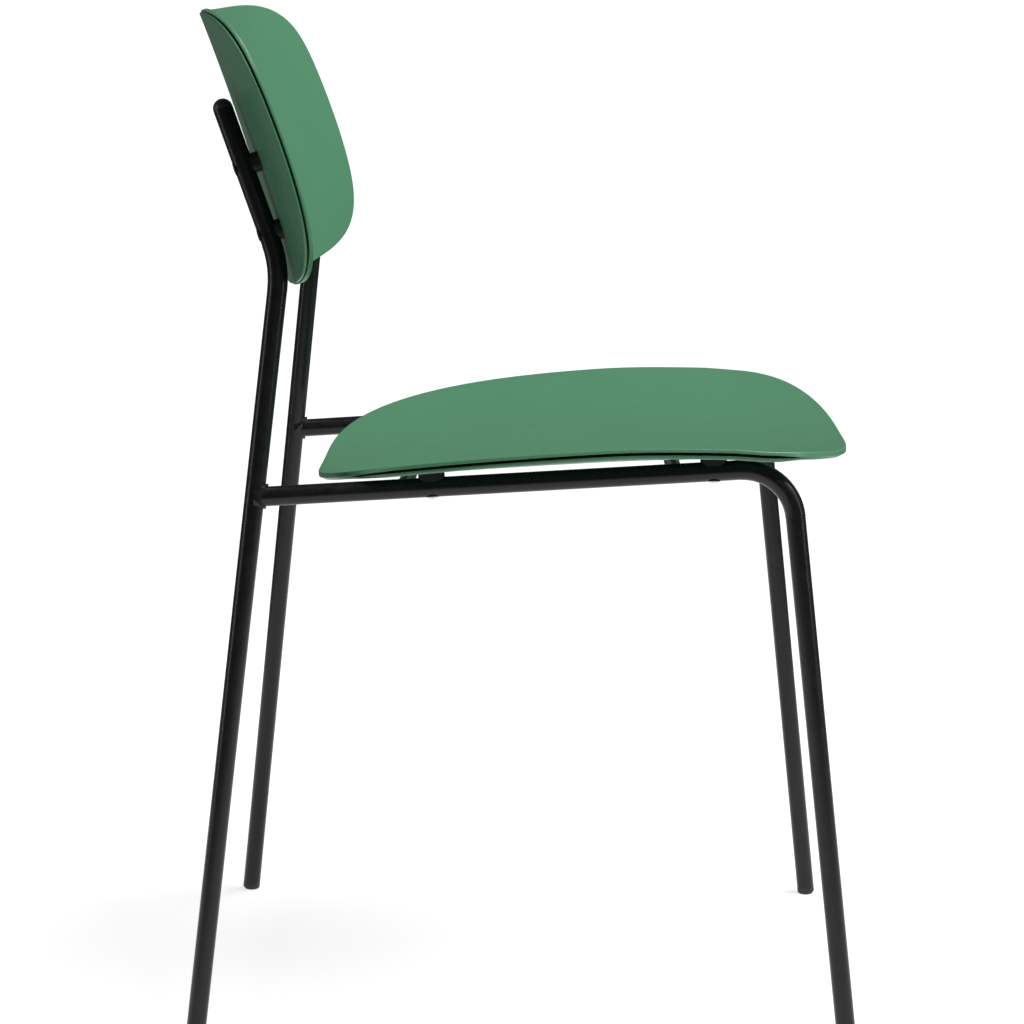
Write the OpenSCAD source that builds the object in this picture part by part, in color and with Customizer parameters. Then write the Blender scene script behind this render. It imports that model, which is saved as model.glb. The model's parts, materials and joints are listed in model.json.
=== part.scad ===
// Stacking chair: two bent tube side frames, a dished seat and a curved backrest.
// Millimetres. +Z up, the sitter faces -Y, the sitter's left is +X.
// The origin lies on the floor, below the middle of the chair.

/* [Tubes] */
// Outer diameter of the side frame tubes
tube_d = 15; // [12:0.5:22]
// Wall of the side frame tubes
tube_wall = 1.5; // [1:0.1:2.5]
// Outer diameter of the two cross tubes under the seat
cross_d = 12; // [10:0.5:16]
// Bend radius at the front corners, on the centre line
front_bend = 40; // [30:1:70]
// Bend radius where the uprights lean back
upright_bend = 80; // [40:1:140]

/* [Side frames] */
// Rear foot: distance from the middle plane
rear_foot_x = 205.9; // [150:0.1:280]
// Rear foot: distance behind the origin
rear_foot_y = 252.9; // [200:0.1:320]
// Front foot: distance from the middle plane
front_foot_x = 190.6; // [150:0.1:280]
// Front foot: distance in front of the origin
front_foot_y = 251.9; // [200:0.1:320]
// Height where the seat rail meets the rear leg
rail_rear_z = 431.4; // [380:0.1:480]
// Forward lean of the rear leg, per unit of height
leg_lean_y = 0.12355; // [0:0.001:0.2]
// Inward lean of the rear leg, per unit of height
leg_lean_x = 0.09875; // [0:0.001:0.2]
// Front corner of the rail: distance from the middle plane
corner_x = 167.1; // [120:0.1:220]
// Front corner of the rail: distance in front of the origin
corner_y = 204.4; // [150:0.1:260]
// Front corner of the rail: height
corner_z = 453.5; // [400:0.1:500]
// Height where the upright starts to lean back
upright_bend_z = 604.4; // [540:0.1:660]
// Backward lean of the upright, per unit of height
upright_lean = 0.352; // [0.2:0.001:0.5]
// Height of the centre of the upright's rounded end
upright_end_z = 721.1; // [680:0.1:780]

/* [Seat] */
// Half of the seat's width
seat_half = 218.6; // [180:0.1:260]
// Where the seat is widest, in front of the origin
seat_wide_y = 170.3; // [100:0.1:220]
// Front edge of the seat, in front of the origin
seat_front = 257.2; // [220:0.1:300]
// Rear edge of the seat, behind the origin
seat_rear = 160.9; // [120:0.1:220]
// Roundness of the seat's front corners
seat_front_n = 2.53; // [2:0.01:5]
// Roundness of the seat's rear corners
seat_rear_n = 3.52; // [2:0.01:5]
// Height of the seat's highest centre line point
seat_z = 455.9; // [420:0.1:500]
// Thickness of the upper seat shell
seat_top_t = 2.8; // [2:0.1:5]
// Thickness of the dark layer between the seat shells
seat_core_t = 1.4; // [0.8:0.1:3]
// Thickness of the lower seat shell
seat_under_t = 1.6; // [1.2:0.1:4]

/* [Backrest] */
// Half of the backrest's width
back_half = 213.2; // [170:0.1:260]
// Height above the datum of the widest line, along the lean
back_wide_s = 24.3; // [0:0.1:60]
// Top edge, along the lean
back_top = 108.4; // [80:0.1:150]
// Bottom edge, along the lean
back_bottom = 110.2; // [80:0.1:150]
// Roundness of the top corners
back_top_n = 4.5; // [2:0.01:8]
// Roundness of the bottom corners
back_bottom_n = 5.9; // [2:0.01:8]
// Lean of the backrest from the vertical, in degrees
back_lean = 17.02; // [5:0.01:30]
// Distance of the backrest's face behind the origin, at its datum
back_y = 207.6; // [180:0.1:240]
// Height of the backrest's datum
back_z = 690; // [640:1:740]
// Thickness of the front backrest shell
back_front_t = 2.9; // [2:0.1:5]
// Thickness of the dark layer between the backrest shells
back_core_t = 1.5; // [0.8:0.1:3]
// Thickness of the rear backrest shell
back_rear_t = 1.8; // [1.2:0.1:4]

/* [Fasteners] */
// Position of the rear seat spacers, behind the origin
pad_rear_y = 65; // [20:1:120]
// Position of the front seat spacers, in front of the origin
pad_front_y = 146.7; // [100:0.1:180]
// Height of the upper backrest spacers
spacer_upper_z = 678.5; // [650:0.5:710]
// Height of the lower backrest spacers
spacer_lower_z = 629.5; // [625:0.5:645]
// Shank diameter of the screws
screw_d = 5; // [4:0.5:8]
// Head diameter of the screws
head_d = 10; // [8:0.5:14]
// Height of the glides below the tube ends
glide_h = 6; // [4:0.5:12]

/* [Hidden] */
$fn = 48;

R = tube_d / 2;
RI = R - tube_wall;
RC = cross_d / 2;
gap = 0.08;
bead = 2;
// The straights reach this far into a bend, which forming leaves a hair thicker.
lap = 0.5;
swell = 0.12;

black = [0.09, 0.095, 0.1];
green = [0.32, 0.56, 0.42];
dark = [0.06, 0.07, 0.065];
zinc = [0.66, 0.67, 0.68];
grey = [0.3, 0.31, 0.31];

// ---------- vectors and placing ----------

function unit(v) = v / norm(v);
function side_dir(w) = unit(cross(abs(w.z) < 0.9 ? [0, 0, 1] : [1, 0, 0], w));

// Puts +Z on w and +X as near to h as it can be, with the origin at o.
module place(o, w, h) {
  x = unit(h - (h * w) * w);
  y = cross(w, x);
  multmatrix([
    [x.x, y.x, w.x, o.x],
    [x.y, y.y, w.y, o.y],
    [x.z, y.z, w.z, o.z],
    [0, 0, 0, 1]
  ]) children();
}

// A round bar of radius r from a to b.
module bar(a, b, r) {
  w = unit(b - a);
  place(a, w, side_dir(w)) cylinder(r = r, h = norm(b - a));
}

// Length of straight lost on each side of a corner p by a bend.
function bend_cut(a, p, b, rad) =
  rad * tan(acos(unit(p - a) * unit(b - p)) / 2);

// A bar from a by a bent corner at p to b.
module bent_bar(a, p, b, rad, r) {
  d1 = unit(p - a);
  d2 = unit(b - p);
  t = bend_cut(a, p, b, rad);
  n = unit(d2 - (d2 * d1) * d1);
  s = p - t * d1;
  c = s + rad * n;
  bar(a, s + lap * d1, r);
  bar(p + (t - lap) * d2, b, r);
  place(c, cross(-n, d1), -n)
    rotate_extrude(angle = acos(d1 * d2), $fn = 96)
      translate([rad, 0]) circle(r + swell);
}

// Draws the +X side piece, or its mirror image on the -X side.
module side(s) {
  if (s > 0) children();
  else mirror([1, 0, 0]) children();
}

module both() {
  for (s = [1, -1]) side(s) children();
}

// ---------- frame lines ----------

function leg_at(z) =
  [rear_foot_x - leg_lean_x * z, rear_foot_y - leg_lean_y * z, z];

bend_p = leg_at(upright_bend_z);
function upright_at(z) = bend_p
  + (z - upright_bend_z) * [-leg_lean_x, upright_lean, 1];

joint_p = leg_at(rail_rear_z);
corner_p = [corner_x, -corner_y, corner_z];
front_foot = [front_foot_x, -front_foot_y, 0];
rear_foot = leg_at(0);
rail_dir = unit(corner_p - joint_p);
front_dir = unit(corner_p - front_foot);
leg_dir = unit(leg_at(100) - rear_foot);
top_dir = unit(upright_at(700) - bend_p);
leg_end = rear_foot + glide_h * leg_dir;
front_end = front_foot + glide_h * front_dir;
upright_end = upright_at(upright_end_z);

function rail_at(y) = joint_p
  + (corner_p - joint_p) * (y - joint_p.y) / (corner_p.y - joint_p.y);

// ---------- seat and backrest faces ----------

seat_t = seat_top_t + seat_core_t + seat_under_t;
back_t = back_front_t + back_core_t + back_rear_t;

function clip(v) = max(0, min(1, v));
function ease(v) = clip(v) * clip(v) * (3 - 2 * clip(v));

// Dish of the seat across its width, from front to rear.
function dish(y) = 0.000472 + 0.000128 * ease((y + 223.4) / 160);
// The front corners turn down a little.
function droop(x, y) = 0.00000000065 * pow(x, 4) * ease((-154 - y) / 34);
// The front edge rolls down from here.
roll_y = -154;

function seat_h(x, y) = seat_z - 0.00007 * pow(y + 418.5, 2)
  + dish(y) * x * x - droop(x, y)
  - (y < roll_y ? 0.00007 * pow(roll_y - y, 2) : 0);

function back_h(x, s) =
  (0.000972 - 0.00000066 * s - 0.000000012 * s * s) * x * x - 0.0002 * s * s;

function h_of(seat, x, y) = seat ? seat_h(x, y) : back_h(x, y);
function slope_x(seat, q) =
  (h_of(seat, q.x + 0.5, q.y) - h_of(seat, q.x - 0.5, q.y));
function slope_y(seat, q) =
  (h_of(seat, q.x, q.y + 0.5) - h_of(seat, q.x, q.y - 0.5));
function normal_of(seat, q) =
  unit([-slope_x(seat, q), -slope_y(seat, q), 1]);

// Backrest coordinates [across, up the lean, out of the face] to the room.
function lean_dir(v) = [
  v.x,
  v.y * sin(back_lean) - v.z * cos(back_lean),
  v.y * cos(back_lean) + v.z * sin(back_lean)
];
function out_dir(seat, v) = seat ? v : lean_dir(v);
function out_point(seat, v) =
  seat ? v : lean_dir(v) + [0, back_y, back_z];
function in_point(seat, p) = seat ? p : [
  p.x,
  (p.y - back_y) * sin(back_lean) + (p.z - back_z) * cos(back_lean),
  -(p.y - back_y) * cos(back_lean) + (p.z - back_z) * sin(back_lean)
];

// A point at depth d below the face.
function face_point(seat, q, d) = out_point(seat,
  [q.x, q.y, h_of(seat, q.x, q.y)] - d * normal_of(seat, q));

// The place on the face straight across from a point behind it.
function across(seat, p, q, i) = i == 0 ? q :
  let (n = normal_of(seat, q))
  across(seat, p,
    [p.x, p.y] + (h_of(seat, q.x, q.y) - p.z) / n.z * [n.x, n.y], i - 1);

// A fastener's line: [tube point, direction to the face, distance to the face,
// tube direction].
function line_of(seat, t, dir) =
  let (p = in_point(seat, t))
  let (q = across(seat, p, [p.x, p.y], 8))
  [t, out_dir(seat, normal_of(seat, q)),
    norm(face_point(seat, q, 0) - t), dir];

seat_lines = [
  line_of(true, rail_at(-pad_front_y), rail_dir),
  line_of(true, rail_at(pad_rear_y), rail_dir)
];
back_lines = [
  line_of(false, upright_at(spacer_upper_z), top_dir),
  line_of(false, upright_at(spacer_lower_z), top_dir)
];

// ---------- shells ----------

// Outline: two half superellipses that meet on the widest line.
function rim(a, lo, nlo, hi, nhi, t) =
  let (c = cos(t))
  let (s = sin(t))
  let (b = s < 0 ? lo : hi)
  let (n = s < 0 ? nlo : nhi)
  let (r = pow(pow(abs(c), n) + pow(abs(s), n), -1 / n))
  [[a * r * c, b * r * s],
    unit([sign(c) * pow(abs(c) * r, n - 1) / a,
      sign(s) * pow(abs(s) * r, n - 1) / b])];

function rim_of(seat, t) = seat
  ? rim(seat_half, seat_front - seat_wide_y, seat_front_n,
      seat_rear + seat_wide_y, seat_rear_n, t)
  : rim(back_half, back_bottom + back_wide_s, back_bottom_n,
      back_top - back_wide_s, back_top_n, t);
function wide_of(seat) = seat ? [0, -seat_wide_y] : [0, back_wide_s];
function mid_of(seat) = seat ? [0, -50] : [0, 0];

// A point of the ring that lies "inset" inside the rim, drawn in by f.
function ring_point(seat, t, f, inset) =
  let (m = rim_of(seat, t))
  let (p = wide_of(seat) + m[0] - inset * m[1])
  mid_of(seat) + f * (p - mid_of(seat));

seg = 80;
edge_in = 14;
// Steps sit closer together on the corners.
function step(i) = 360 * i / seg + 4.6 * sin(4 * 360 * i / seg);

// Where the groove between the shells is closed: 0 open, 1 closed.
function shut(seat, t) = seat
  ? ease((-sin(t) - 0.2) / 0.3) + ease((sin(t) - 0.68) / 0.14)
  : ease((abs(sin(t)) - 0.62) / 0.25);

// Rings of the flat part of a layer at depth d, from the middle outwards.
function flats(d) =
  [for (f = [0.24, 0.47, 0.68, 0.86, 1]) [f, edge_in, d, 0]];
function reversed(v) = [for (i = [len(v) - 1:-1:0]) v[i]];

// A closed layer through a list of rings
// [draw-in, inset, depth, more depth where the groove is closed].
module layer(seat, rings) {
  n = len(rings);
  m = mid_of(seat);
  points = concat(
    [for (g = rings) for (i = [0:seg - 1])
      face_point(seat, ring_point(seat, step(i), g[0], g[1]),
        g[2] + g[3] * shut(seat, step(i)))],
    [face_point(seat, m, rings[0][2]), face_point(seat, m, rings[n - 1][2])]);
  walls = [for (j = [0:n - 2]) for (i = [0:seg - 1])
    let (k = (i + 1) % seg)
    for (h = [0, 1]) h == 0
      ? [j * seg + i, j * seg + k, (j + 1) * seg + k]
      : [j * seg + i, (j + 1) * seg + k, (j + 1) * seg + i]];
  ends = [for (i = [0:seg - 1]) let (k = (i + 1) % seg) for (h = [0, 1]) h == 0
    ? [n * seg, k, i]
    : [(n - 1) * seg + i, (n - 1) * seg + k, n * seg + 1]];
  polyhedron(points = points, faces = concat(walls, ends));
}

// The outer shell, from the face to depth t. Its rim reaches down by g where
// the groove is closed.
module face_shell(seat, t, g) {
  layer(seat, concat(flats(0),
    [[1, 6, 0, 0], [1, 0.9, 0, 0], [1, 0.3, 0.25, 0], [1, 0, 0.8, 0]],
    [[1, 0, t - 0.6, g], [1, 0.3, t - 0.15, g], [1, 0.9, t, g], [1, 5, t, g], [1, 6, t, 0]],
    reversed(flats(t))));
}

// The rear shell, from depth d to d + t and "e" inside the outline. Towards the
// rim it leaves the dark layer by "away" and thickens by "lip".
module rear_shell(seat, d, t, e, away, lip) {
  a = d + away;
  b = d + t + lip;
  r = lip > 0 ? 1.4 : 0.9;
  layer(seat, concat(flats(d),
    [[1, 6, d + away / 2, -away / 2], [1, e + 0.7, a, -away],
      [1, e + 0.2, a + 0.2, -away], [1, e, a + 0.6, -away]],
    [[1, e, b - r, -lip], [1, e + 0.3 * r, b - 0.3 * r, -lip], [1, e + r, b, -lip],
      [1, 6, b - lip / 4, -0.75 * lip]],
    reversed(flats(d + t))));
}

// The dark layer, set back from the rims of the shells.
module core(seat, d, t) {
  layer(seat, concat(flats(d), [[1, 6, d, 0], [1, 6, d + t, 0]], reversed(flats(d + t))));
}

// ---------- fasteners ----------

// Puts +Z on the fastener's line, with the tube's centre line at the origin.
module on_line(k) {
  place(k[0], k[1], k[3]) children();
}

module holes(lines, r, back_to, forward) {
  for (k = lines) both() on_line(k)
    translate([0, 0, -back_to]) cylinder(r = r, h = back_to + k[2] + forward);
}

module countersinks(lines) {
  for (k = lines) on_line(k)
    translate([0, 0, -R - 0.5])
      cylinder(r1 = head_d / 2 + 0.5 + gap, r2 = screw_d / 2 + gap,
        h = (head_d - screw_d) / 2 + 0.5);
}

module screw(k, top_t, crown) {
  cone = (head_d - screw_d) / 2;
  ball = (head_d * head_d / 4 + crown * crown) / (2 * crown);
  on_line(k) difference() {
    union() {
      translate([0, 0, -R + cone])
        cylinder(r = screw_d / 2, h = k[2] - top_t + R - cone - 0.1);
      translate([0, 0, -R])
        cylinder(r1 = head_d / 2, r2 = screw_d / 2, h = cone);
      intersection() {
        translate([0, 0, -R - crown + ball]) sphere(r = ball, $fn = 96);
        translate([0, 0, -R - 2]) cylinder(r = head_d / 2, h = 2);
      }
    }
    translate([0, 0, -R - 2]) cylinder(r = 1.7, h = 3.6, $fn = 6);
  }
}

// Threaded insert: a flange in the dark layer and a barrel in the outer shell.
module insert(k, top_t, core_t, outer_t) {
  on_line(k) difference() {
    union() {
      translate([0, 0, k[2] - top_t - core_t + 0.15])
        cylinder(r = 6, h = core_t - 0.3);
      translate([0, 0, k[2] - top_t - core_t - outer_t + 0.1])
        cylinder(r = 3.6, h = outer_t + 0.2);
    }
    translate([0, 0, k[2] - top_t - core_t - outer_t - 1])
      cylinder(r = screw_d / 2 + gap, h = core_t + outer_t + 2);
  }
}

// Spacer: an oblong block between tube and shell, hollowed to sit on the tube.
module spacer(k, length, width, t) {
  difference() {
    on_line(k) translate([0, 0, 2]) linear_extrude(height = k[2] - t - 2.03) {
      square([length - width, width], center = true);
      for (s = [1, -1]) translate([s * (length - width) / 2, 0])
        circle(d = width);
    }
    place(k[0] - 60 * k[3], k[3], -k[1]) cylinder(r = R + gap, h = 120);
    on_line(k) cylinder(r = screw_d / 2 + gap, h = k[2]);
  }
}

// ---------- frame pieces ----------

module rear_leg() {
  color(black) difference() {
    bent_bar(leg_end, bend_p, upright_end, upright_bend, R);
    bent_bar(leg_end - 2 * leg_dir, bend_p, upright_end + 2 * top_dir,
      upright_bend, RI);
    for (k = back_lines) on_line(k)
      translate([0, 0, -R - 1]) cylinder(r = screw_d / 2 + gap, h = 2 * R + 2);
    countersinks(back_lines);
  }
}

module seat_rail() {
  color(black) difference() {
    bent_bar(joint_p, corner_p, front_end, front_bend, R);
    bent_bar(joint_p - 2 * rail_dir, corner_p, front_end - 2 * front_dir,
      front_bend, RI);
    bar(leg_at(rail_rear_z - 60), leg_at(rail_rear_z + 60), R + gap);
    for (k = seat_lines) on_line(k)
      translate([0, 0, -R - 1]) cylinder(r = screw_d / 2 + gap, h = 2 * R + 2);
    countersinks(seat_lines);
  }
}

// Cross tubes bow down under the dish of the seat.
cross_front_y = -120;
cross_rear_y = 90;
cross_front_z = 435.4;
cross_rear_z = 423.5;

module cross_arc(y, z, r) {
  e = rail_at(y);
  rise = e.z - z;
  rad = (e.x * e.x + rise * rise) / (2 * rise);
  half = asin(e.x / rad);
  place([0, y, z + rad], [0, -1, 0], [-sin(half), 0, -cos(half)])
    rotate_extrude(angle = 2 * half, $fn = 360)
      translate([rad, 0]) circle(r, $fn = 48);
}

module rail_bar(y, r) {
  bar(rail_at(y - 40), rail_at(y + 40), r);
}

module cross_tube(y, z) {
  color(black) difference() {
    cross_arc(y, z, RC);
    cross_arc(y, z, RC - 1.5);
    both() rail_bar(y, R + gap);
  }
}

// Weld bead: the room close to both tubes and outside them.
module leg_weld() {
  color(black) difference() {
    intersection() {
      bar(leg_at(rail_rear_z - 30), leg_at(rail_rear_z + 30), R + bead);
      bar(joint_p, joint_p + 40 * rail_dir, R + bead);
    }
    bar(leg_at(rail_rear_z - 60), leg_at(rail_rear_z + 60), R + gap);
    bar(joint_p - 10 * rail_dir, joint_p + 60 * rail_dir, R + gap);
  }
}

module cross_weld(y, z) {
  both() difference() {
    intersection() {
      rail_bar(y, R + 1.5);
      cross_arc(y, z, RC + 1.5);
      translate([0, y - 20, z - 40]) cube([rail_at(y).x, 40, 80]);
    }
    rail_bar(y, R + gap);
    cross_arc(y, z, RC + gap);
  }
}

module weld_beads_cross() {
  color(black) {
    cross_weld(cross_front_y, cross_front_z);
    cross_weld(cross_rear_y, cross_rear_z);
  }
}

// Rounded plug in the open end of an upright.
module upright_cap() {
  color(grey) place(upright_end, top_dir, [1, 0, 0]) {
    difference() {
      sphere(r = R);
      translate([0, 0, -2 * R]) cylinder(r = 2 * R, h = 2 * R + 0.02);
    }
    translate([0, 0, -14]) cylinder(r = RI - gap, h = 15);
  }
}

// Plug with a flat sole under a leg that leans.
module glide(foot, dir) {
  color(dark) difference() {
    place(foot, dir, [1, 0, 0]) {
      intersection() {
        translate([0, 0, -2]) cylinder(r = R, h = glide_h + 2 - 0.02);
        translate([0, 0, 6]) sphere(r = R + 1);
      }
      cylinder(r = RI - gap, h = glide_h + 14);
    }
    translate([foot.x - 20, foot.y - 20, -10]) cube([40, 40, 10]);
  }
}

// ---------- seat and backrest pieces ----------

module seat_top_shell() {
  color(green) face_shell(true, seat_top_t, seat_core_t - 0.1);
}

module seat_core() {
  color(dark) difference() {
    core(true, seat_top_t, seat_core_t);
    holes(seat_lines, 6 + gap, 0, 0);
  }
}

module seat_under_shell() {
  color(green) difference() {
    rear_shell(true, seat_top_t + seat_core_t, seat_under_t, 2.2, 0.6, 1.8);
    holes(seat_lines, 3.6 + gap, 0, 0);
  }
}

module back_front_shell() {
  color(green) face_shell(false, back_front_t, back_core_t - 0.1);
}

module back_core() {
  color(dark) difference() {
    core(false, back_front_t, back_core_t);
    holes(back_lines, 6 + gap, 0, 0);
  }
}

module back_rear_shell() {
  color(green) difference() {
    rear_shell(false, back_front_t + back_core_t, back_rear_t, 1.2, 0, 0);
    holes(back_lines, 3.6 + gap, 0, 0);
  }
}

module seat_spacer(k) {
  color(dark) spacer(k, 20, 13, seat_t);
}

module back_spacer(k) {
  color(dark) spacer(k, 15.5, 12, back_t);
}

module seat_screws() {
  color(zinc) for (k = seat_lines) both() screw(k, seat_top_t, 1.3);
}

module back_screws() {
  color(black) for (k = back_lines) both() screw(k, back_front_t, 0.4);
}

module seat_inserts() {
  color(zinc) for (k = seat_lines) both()
    insert(k, seat_top_t, seat_core_t, seat_under_t);
}

module back_inserts() {
  color(zinc) for (k = back_lines) both()
    insert(k, back_front_t, back_core_t, back_rear_t);
}

// ---------- nodes ----------

side(1) rear_leg();  // rear_leg_left
side(-1) rear_leg();  // rear_leg_right
side(1) seat_rail();  // seat_rail_left
side(-1) seat_rail();  // seat_rail_right
cross_tube(cross_front_y, cross_front_z);  // cross_tube_front
cross_tube(cross_rear_y, cross_rear_z);  // cross_tube_rear
side(1) leg_weld();  // weld_bead_left
side(-1) leg_weld();  // weld_bead_right
weld_beads_cross();
side(1) upright_cap();  // upright_cap_left
side(-1) upright_cap();  // upright_cap_right
side(1) glide(front_foot, front_dir);  // glide_front_left
side(-1) glide(front_foot, front_dir);  // glide_front_right
side(1) glide(rear_foot, leg_dir);  // glide_rear_left
side(-1) glide(rear_foot, leg_dir);  // glide_rear_right
seat_top_shell();
seat_core();
seat_under_shell();
back_front_shell();
back_core();
back_rear_shell();
side(1) seat_spacer(seat_lines[0]);  // seat_spacer_front_left
side(-1) seat_spacer(seat_lines[0]);  // seat_spacer_front_right
side(1) seat_spacer(seat_lines[1]);  // seat_spacer_rear_left
side(-1) seat_spacer(seat_lines[1]);  // seat_spacer_rear_right
side(1) back_spacer(back_lines[0]);  // back_spacer_upper_left
side(-1) back_spacer(back_lines[0]);  // back_spacer_upper_right
side(1) back_spacer(back_lines[1]);  // back_spacer_lower_left
side(-1) back_spacer(back_lines[1]);  // back_spacer_lower_right
seat_screws();
back_screws();
seat_inserts();
back_inserts();
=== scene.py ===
"""Stacking chair: the looks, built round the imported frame.

Metres, in the frame's own axes: +Z up, the sitter faces -Y, the sitter's left is +X.
"""
import json
import math

import bmesh
import bpy
from mathutils import Matrix, Vector

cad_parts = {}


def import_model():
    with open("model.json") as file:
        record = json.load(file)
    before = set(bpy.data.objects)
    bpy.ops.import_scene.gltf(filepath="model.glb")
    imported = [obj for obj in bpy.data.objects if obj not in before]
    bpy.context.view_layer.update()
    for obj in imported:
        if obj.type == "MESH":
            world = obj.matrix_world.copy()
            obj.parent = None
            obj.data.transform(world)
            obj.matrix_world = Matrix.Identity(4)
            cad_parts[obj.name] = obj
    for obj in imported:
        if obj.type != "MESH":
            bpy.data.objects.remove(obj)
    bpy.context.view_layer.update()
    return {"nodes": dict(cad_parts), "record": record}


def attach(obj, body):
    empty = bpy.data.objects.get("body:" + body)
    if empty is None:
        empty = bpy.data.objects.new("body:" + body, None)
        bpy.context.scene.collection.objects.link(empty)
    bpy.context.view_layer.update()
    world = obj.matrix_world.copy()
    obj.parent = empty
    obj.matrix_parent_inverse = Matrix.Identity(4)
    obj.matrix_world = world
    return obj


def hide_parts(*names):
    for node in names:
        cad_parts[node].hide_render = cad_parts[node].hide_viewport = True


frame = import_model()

nodes = frame["nodes"]
MM = 0.001


# ---------- the faces of the seat and the backrest, in millimetres ----------
#
# An outline is two half superellipses that meet at the line "wide": "near" and "far" are
# their reaches towards -v and +v, with their exponents, and "half" is the half width.
# "mid" is the middle that the inner rings shrink to. "top", "core" and "under" are the
# thicknesses of the layers. The rear shell is set in by "inset"; at its rim it leaves the
# dark layer by "away", thickens by "lip" and turns with the radius "turn".

def ease(v):
    """Smooth step from 0 to 1."""
    v = max(0.0, min(1.0, v))
    return v * v * (3 - 2 * v)


class Seat:
    """The seat, in the room's own x and y."""

    half, wide, mid = 218.6, -170.3, -50.0
    near, near_n = 86.9, 2.53
    far, far_n = 331.2, 3.52
    top, core, under = 2.8, 1.4, 1.6
    inset, away, lip, turn = 2.2, 0.6, 1.8, 1.8
    crest_z, crest_y = 455.9, -418.5
    slope = 0.00007
    roll_y = -154

    @staticmethod
    def height(x, y):
        """Height of the face: it falls to the rear, dishes across, and rolls down in front."""
        dish = 0.000472 + 0.000128 * ease((y + 223.4) / 160)
        ahead = max(0.0, Seat.roll_y - y)
        droop = 0.00000000065 * x ** 4 * ease(ahead / 34)
        roll = Seat.slope * ahead ** 2
        return Seat.crest_z - Seat.slope * (y - Seat.crest_y) ** 2 + dish * x * x - droop - roll

    @staticmethod
    def shut(t):
        """Where the groove between the shells is closed: the front and rear edges."""
        return ease((-math.sin(t) - 0.2) / 0.3) + ease((math.sin(t) - 0.68) / 0.14)

    @staticmethod
    def room(v):
        """Face coordinates to the room."""
        return v


class Back:
    """The backrest: coordinates across, up the lean and out of the face."""

    half, wide, mid = 213.2, 24.3, 0.0
    near, near_n = 134.5, 5.9
    far, far_n = 84.1, 4.5
    top, core, under = 2.9, 1.5, 1.8
    inset, away, lip, turn = 1.2, 0.0, 0.0, 1.0
    lean = math.radians(17.02)
    middle_y, middle_z = 207.6, 690

    @staticmethod
    def height(x, s):
        """Depth of the face: it wraps round the sitter, and bows a little along its lean."""
        wrap = 0.000972 - 0.00000066 * s - 0.000000012 * s * s
        return wrap * x * x - 0.0002 * s * s

    @staticmethod
    def shut(t):
        """Where the groove between the shells is closed: the top and bottom edges."""
        return ease((abs(math.sin(t)) - 0.62) / 0.25)

    @staticmethod
    def room(v):
        """Face coordinates to the room."""
        sin, cos = math.sin(Back.lean), math.cos(Back.lean)
        return Vector((v.x, v.y * sin - v.z * cos + Back.middle_y,
                       v.y * cos + v.z * sin + Back.middle_z))


def normal(face, u, v):
    """Unit normal of a face at (u, v), in its own coordinates."""
    step = 0.5
    du = face.height(u + step, v) - face.height(u - step, v)
    dv = face.height(u, v + step) - face.height(u, v - step)
    return Vector((-du, -dv, 2 * step)).normalized()


def face_point(face, u, v, depth):
    """A point below the face by depth, in the room, in metres."""
    n = normal(face, u, v)
    return face.room(Vector((u, v, face.height(u, v))) - depth * n) * MM


def rim_point(face, t, inset):
    """A point of the outline at angle t, moved inwards by inset."""
    c, s = math.cos(t), math.sin(t)
    b, n = (face.near, face.near_n) if s < 0 else (face.far, face.far_n)
    r = (abs(c) ** n + abs(s) ** n) ** (-1 / n)
    gu = math.copysign(abs(c * r) ** (n - 1), c) / face.half
    gv = math.copysign(abs(s * r) ** (n - 1), s) / b
    g = math.hypot(gu, gv)
    return (face.half * r * c - inset * gu / g,
            face.wide + b * r * s - inset * gv / g)


# ---------- shells ----------

SEGMENTS = 256
EDGE_IN = 14.0  # how far in from the rim the flat rings end
# Sizes of the flat rings, as shares of the outermost one.
INNER = [0.06, 0.12, 0.19, 0.26, 0.33, 0.4, 0.47, 0.54, 0.61, 0.68,
         0.745, 0.805, 0.86, 0.905, 0.94, 0.97]
BUNCHING = math.radians(4.6)
CORE_GAP = 0.03


def angle(i):
    """Angle of step i; the steps sit closer together on the corners."""
    t = 2 * math.pi * i / SEGMENTS
    return t + BUNCHING * math.sin(4 * t)


def flats(depth):
    """Rings (draw-in, inset, depth, more depth where the groove is closed), middle first."""
    return [(f, EDGE_IN, depth, 0.0) for f in INNER + [1.0]]


def corner(inset, depth, radius, outwards, more, steps=6):
    """Rings from the wall at inset round to the face at depth; outwards is +1 or -1."""
    rings = []
    for i in range(steps + 1):
        a = math.pi / 2 * i / steps
        rings.append((1.0, inset + radius * (1 - math.cos(a)),
                      depth + outwards * radius * (math.sin(a) - 1), more))
    return rings


def layer(name, face, rings):
    """A closed layer through a list of rings."""
    bm = bmesh.new()
    loops = []
    for f, inset, depth, more in rings:
        loop = []
        for i in range(SEGMENTS):
            u, v = rim_point(face, angle(i), inset)
            d = depth + more * face.shut(angle(i))
            v = face.mid + f * (v - face.mid)
            loop.append(bm.verts.new(face_point(face, f * u, v, d)))
        loops.append(loop)
    ends = [bm.verts.new(face_point(face, 0.0, face.mid, rings[j][2])) for j in (0, -1)]
    for a, b in zip(loops, loops[1:]):
        for i in range(SEGMENTS):
            k = (i + 1) % SEGMENTS
            bm.faces.new((a[i], b[i], b[k], a[k]))
    for i in range(SEGMENTS):
        k = (i + 1) % SEGMENTS
        bm.faces.new((ends[0], loops[0][i], loops[0][k]))
        bm.faces.new((ends[1], loops[-1][k], loops[-1][i]))
    for f in bm.faces:
        f.smooth = True
    mesh = bpy.data.meshes.new(name)
    bm.to_mesh(mesh)
    bm.free()
    obj = bpy.data.objects.new(name, mesh)
    bpy.context.scene.collection.objects.link(obj)
    return obj


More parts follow.
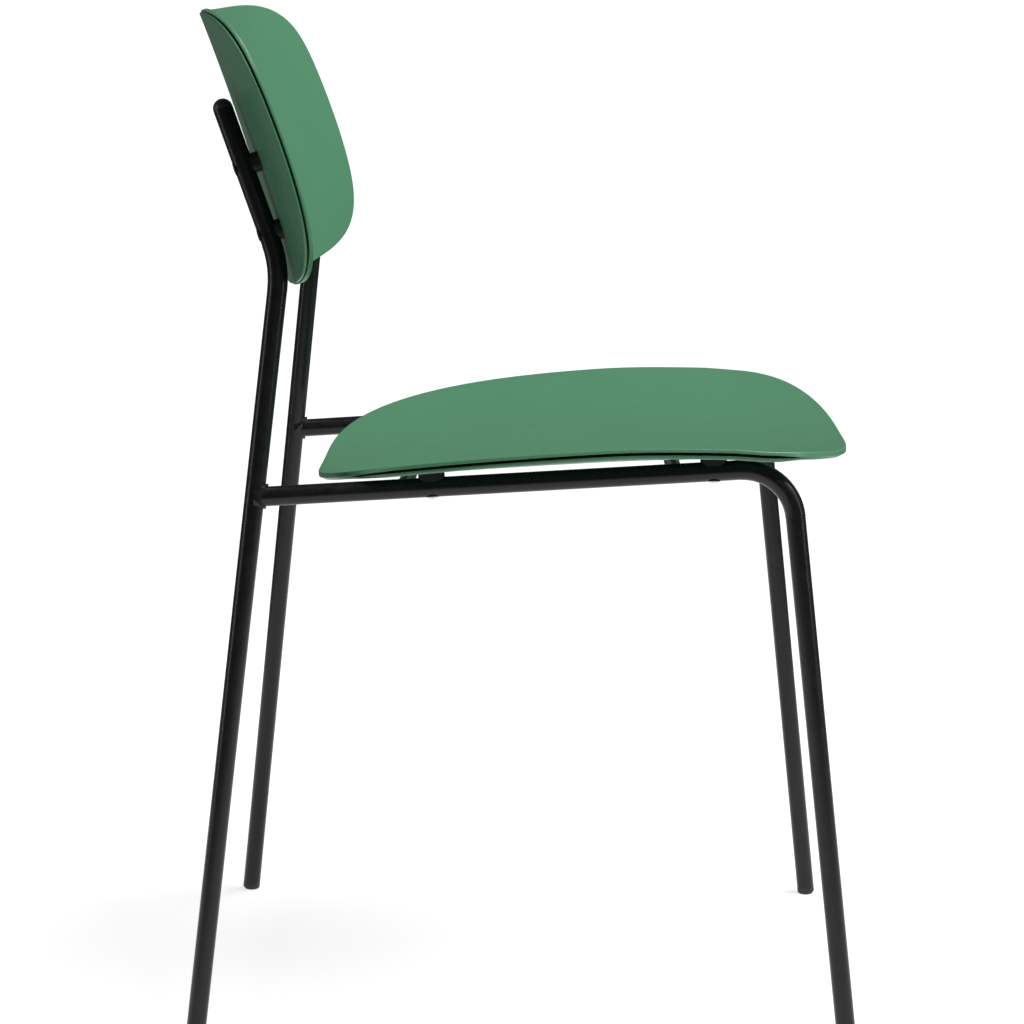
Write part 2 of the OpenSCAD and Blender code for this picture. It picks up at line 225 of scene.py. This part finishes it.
def face_shell(name, face):
    """The outer shell. Its rim reaches further where the groove is closed."""
    t = face.top
    more = face.core - CORE_GAP
    rim = [(1.0, 10.0, 0.0, 0.0), (1.0, 6.0, 0.0, 0.0), (1.0, 2.5, 0.0, 0.0)]
    rim += corner(0.0, 0.0, 1.0, -1, 0.0)[::-1]
    rim += corner(0.0, t, 0.5, 1, more)
    rim += [(1.0, 3.0, t, more), (1.0, 5.0, t, more),
            (1.0, 6.0, t, 0.0), (1.0, 10.0, t, 0.0)]
    return layer(name, face, flats(0.0) + rim + flats(t)[::-1])


def rear_shell(name, face):
    """The rear shell. Towards the rim it leaves the dark layer and thickens."""
    a = face.top + face.core
    b = a + face.under
    lip, away, inset, turn = face.lip, face.away, face.inset, face.turn
    rim = [(1.0, 10.0, a + away / 4, -away / 4), (1.0, 6.0, a + away / 2, -away / 2)]
    rim += corner(inset, a + away, 0.4, -1, -away)[::-1]
    rim += corner(inset, b + lip, turn, 1, -lip)
    rim += [(1.0, 6.0, b + 0.75 * lip, -0.75 * lip),
            (1.0, 10.0, b + 0.35 * lip, -0.35 * lip)]
    return layer(name, face, flats(a) + rim + flats(b)[::-1])


# ---------- materials ----------

NOISE_SPAN = 0.3, 0.7  # the part of a noise's range that is used


class Material:
    """A node material with a few short ways to add its nodes."""

    def __init__(self, name, rough, **sockets):
        self.mat = bpy.data.materials.new(name)
        self.mat.use_nodes = True
        self.tree = self.mat.node_tree
        self.bsdf = self.tree.nodes["Principled BSDF"]
        self.bsdf.inputs["Roughness"].default_value = rough
        for key, value in sockets.items():
            self.bsdf.inputs[key.replace("_", " ")].default_value = value
        self.place = self.node("ShaderNodeTexCoord").outputs["Object"]

    def node(self, kind):
        return self.tree.nodes.new(kind)

    def link(self, a, b):
        self.tree.links.new(a, b)

    def noise(self, scale, detail):
        """Noise by place in the room."""
        n = self.node("ShaderNodeTexNoise")
        n.inputs["Scale"].default_value = scale
        n.inputs["Detail"].default_value = detail
        n.inputs["Roughness"].default_value = 0.5
        self.link(self.place, n.inputs["Vector"])
        return n.outputs["Fac"]

    def colour(self, noise, base, low, high):
        """Base colour that drifts with a noise between low and high times base."""
        r = self.node("ShaderNodeValToRGB")
        for stop, at, k in zip(r.color_ramp.elements, NOISE_SPAN, (low, high)):
            stop.position = at
            stop.color = (*(c * k for c in base), 1)
        self.link(noise, r.inputs["Fac"])
        self.link(r.outputs["Color"], self.bsdf.inputs["Base Color"])

    def roughness(self, noise, low, high):
        """Roughness that drifts with a noise between low and high."""
        m = self.node("ShaderNodeMapRange")
        for key, value in zip(("From Min", "From Max", "To Min", "To Max"),
                              (*NOISE_SPAN, low, high)):
            m.inputs[key].default_value = value
        self.link(noise, m.inputs["Value"])
        self.link(m.outputs["Result"], self.bsdf.inputs["Roughness"])

    def bump(self, noise, depth):
        """Relief with a noise, depth in metres."""
        b = self.node("ShaderNodeBump")
        b.inputs["Strength"].default_value = 1.0
        b.inputs["Distance"].default_value = depth
        self.link(noise, b.inputs["Height"])
        self.link(b.outputs["Normal"], self.bsdf.inputs["Normal"])


def green_shell():
    """Satin green plastic: fine orange peel and slow drifts of tone."""
    m = Material("shell_green", rough=0.32, Specular_IOR_Level=0.4)
    m.colour(m.noise(7.0, 2.0), (0.055, 0.172, 0.092), 0.97, 1.03)
    m.roughness(m.noise(60.0, 2.0), 0.29, 0.35)
    m.bump(m.noise(1400.0, 2.0), 0.000012)
    return m.mat


def black_paint():
    """Black powder coat with a fine orange peel."""
    m = Material("frame_paint", rough=0.3, Specular_IOR_Level=0.35)
    m.colour(m.noise(30.0, 3.0), (0.0022, 0.0026, 0.0026), 0.85, 1.2)
    m.roughness(m.noise(120.0, 2.0), 0.27, 0.34)
    m.bump(m.noise(1500.0, 2.0), 0.00002)
    return m.mat


def plain_plastic(name, base, rough):
    """Moulded plastic or rubber with a light grain."""
    m = Material(name, rough=rough)
    m.colour(m.noise(60.0, 2.0), base, 0.88, 1.12)
    m.roughness(m.noise(300.0, 2.0), rough - 0.06, rough + 0.06)
    m.bump(m.noise(1200.0, 2.0), 0.00002)
    return m.mat


def plated(name, base, rough):
    """Plated metal with faint turning marks."""
    m = Material(name, rough=rough, Metallic=1.0)
    m.colour(m.noise(200.0, 3.0), base, 0.85, 1.05)
    m.roughness(m.noise(500.0, 2.0), rough - 0.08, rough + 0.08)
    m.bump(m.noise(2500.0, 2.0), 0.00001)
    return m.mat


# The material of each of the record's slots.
SLOT_LOOK = {
    "shell_green": green_shell(),
    "frame_paint": black_paint(),
    # Painted shade: the core's near-black stands in for the shade in the groove between the
    # green shells, not for a black part.
    "core_dark": plain_plastic("core_dark", (0.006, 0.008, 0.007), 0.8),
    "spacer_black": plain_plastic("spacer_black", (0.003, 0.0034, 0.0034), 0.55),
    "cap_grey": plain_plastic("cap_grey", (0.014, 0.015, 0.0155), 0.4),
    "glide_black": plain_plastic("glide_black", (0.005, 0.005, 0.0055), 0.5),
    "screw_zinc": plated("screw_zinc", (0.55, 0.56, 0.57), 0.35),
    "insert_brass": plated("insert_brass", (0.6, 0.46, 0.22), 0.4),
    "screw_black": plain_plastic("screw_black", (0.004, 0.0045, 0.0045), 0.4),
}


def dress(obj, look):
    """Gives an object one material."""
    obj.data.materials.clear()
    obj.data.materials.append(look)


# ---------- pieces ----------

for part in frame["record"]["subparts"]:
    dress(nodes[part["node"]], SLOT_LOOK[part["material_slot"]])


for node, build, face in (("seat_top_shell", face_shell, Seat),
                          ("seat_under_shell", rear_shell, Seat),
                          ("back_front_shell", face_shell, Back),
                          ("back_rear_shell", rear_shell, Back)):
    shell = build(f"{node}_look", face)
    dress(shell, SLOT_LOOK["shell_green"])
    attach(shell, "root")
    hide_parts(node)


# ---------- floor, light and camera ----------

FLOOR_RADIUS = 1.4


def floor():
    """A plain pale floor, lit softly from within, that fades into the white surroundings."""
    bm = bmesh.new()
    steps = 96
    rim = []
    for i in range(steps):
        a = 2 * math.pi * i / steps
        rim.append(bm.verts.new((FLOOR_RADIUS * math.cos(a), FLOOR_RADIUS * math.sin(a), 0)))
    bm.faces.new(rim)
    mesh = bpy.data.meshes.new("floor")
    bm.to_mesh(mesh)
    bm.free()
    obj = bpy.data.objects.new("floor", mesh)
    bpy.context.scene.collection.objects.link(obj)
    m = Material("floor_white", rough=0.9, Specular_IOR_Level=0.0)
    m.bsdf.inputs["Base Color"].default_value = (0.3, 0.3, 0.299, 1)
    m.bsdf.inputs["Emission Color"].default_value = (1, 1, 1, 1)
    m.bsdf.inputs["Emission Strength"].default_value = 0.75
    obj.data.materials.append(m.mat)


def area_light(name, place, aim, size, power):
    """A soft box at a place, aimed at a point."""
    data = bpy.data.lights.new(name, "AREA")
    data.shape = "RECTANGLE"
    data.size, data.size_y = size
    data.energy = power
    obj = bpy.data.objects.new(name, data)
    bpy.context.scene.collection.objects.link(obj)
    obj.location = place
    obj.rotation_euler = (Vector(aim) - Vector(place)).to_track_quat("-Z", "Y").to_euler()


def sun(toward, strength, spread):
    """A soft distant light; toward points at it, and spread is in degrees."""
    data = bpy.data.lights.new("sun", "SUN")
    data.energy = strength
    data.angle = math.radians(spread)
    obj = bpy.data.objects.new("sun", data)
    bpy.context.scene.collection.objects.link(obj)
    obj.rotation_euler = (-Vector(toward)).to_track_quat("-Z", "Y").to_euler()


def world(strength):
    """Dim even surroundings behind a white background."""
    w = bpy.data.worlds.new("studio")
    w.use_nodes = True
    tree = w.node_tree
    dim = tree.nodes["Background"]
    dim.inputs["Color"].default_value = (1, 1, 1, 1)
    dim.inputs["Strength"].default_value = strength
    white = tree.nodes.new("ShaderNodeBackground")
    white.inputs["Color"].default_value = (1, 1, 1, 1)
    white.inputs["Strength"].default_value = 1.1
    ray = tree.nodes.new("ShaderNodeLightPath")
    mix = tree.nodes.new("ShaderNodeMixShader")
    tree.links.new(ray.outputs["Is Camera Ray"], mix.inputs[0])
    tree.links.new(dim.outputs["Background"], mix.inputs[1])
    tree.links.new(white.outputs["Background"], mix.inputs[2])
    tree.links.new(mix.outputs["Shader"], tree.nodes["World Output"].inputs["Surface"])
    bpy.context.scene.world = w


def camera():
    """The side view, from the sitter's right and a little above."""
    yaw, pitch, roll = 0.0194, 0.1890, -0.0069
    ahead = Vector((math.cos(yaw) * math.cos(pitch),
                    math.sin(yaw) * math.cos(pitch), -math.sin(pitch)))
    right = Vector((math.sin(yaw), -math.cos(yaw), 0))
    up = right.cross(ahead)
    right_r = right * math.cos(roll) + up * math.sin(roll)
    up_r = up * math.cos(roll) - right * math.sin(roll)
    data = bpy.data.cameras.new("camera")
    data.sensor_width = 36.0
    data.lens = 98.61
    data.clip_end = 1000.0
    obj = bpy.data.objects.new("camera", data)
    place = Vector((-2.2435, -0.0353, 0.8172))
    turn = Matrix((right_r, up_r, -ahead)).transposed()
    obj.matrix_world = Matrix.Translation(place) @ turn.to_4x4()
    bpy.context.scene.collection.objects.link(obj)
    bpy.context.scene.camera = obj


bpy.context.scene.view_settings.view_transform = "Standard"
floor()
world(0.1)
sun((-0.12, -0.53, 0.84), 5.6, 50)
area_light("strip_rear", (-0.6, 2.4, 0.9), (0, 0.2, 0.5), (0.2, 1.8), 8)
area_light("edge", (-3.0, -1.0, 2.3), (0, 0, 0.5), (0.3, 0.3), 16)
area_light("strip_front", (-0.8, -2.6, 1.0), (0, -0.1, 0.5), (0.16, 1.8), 9)
camera()
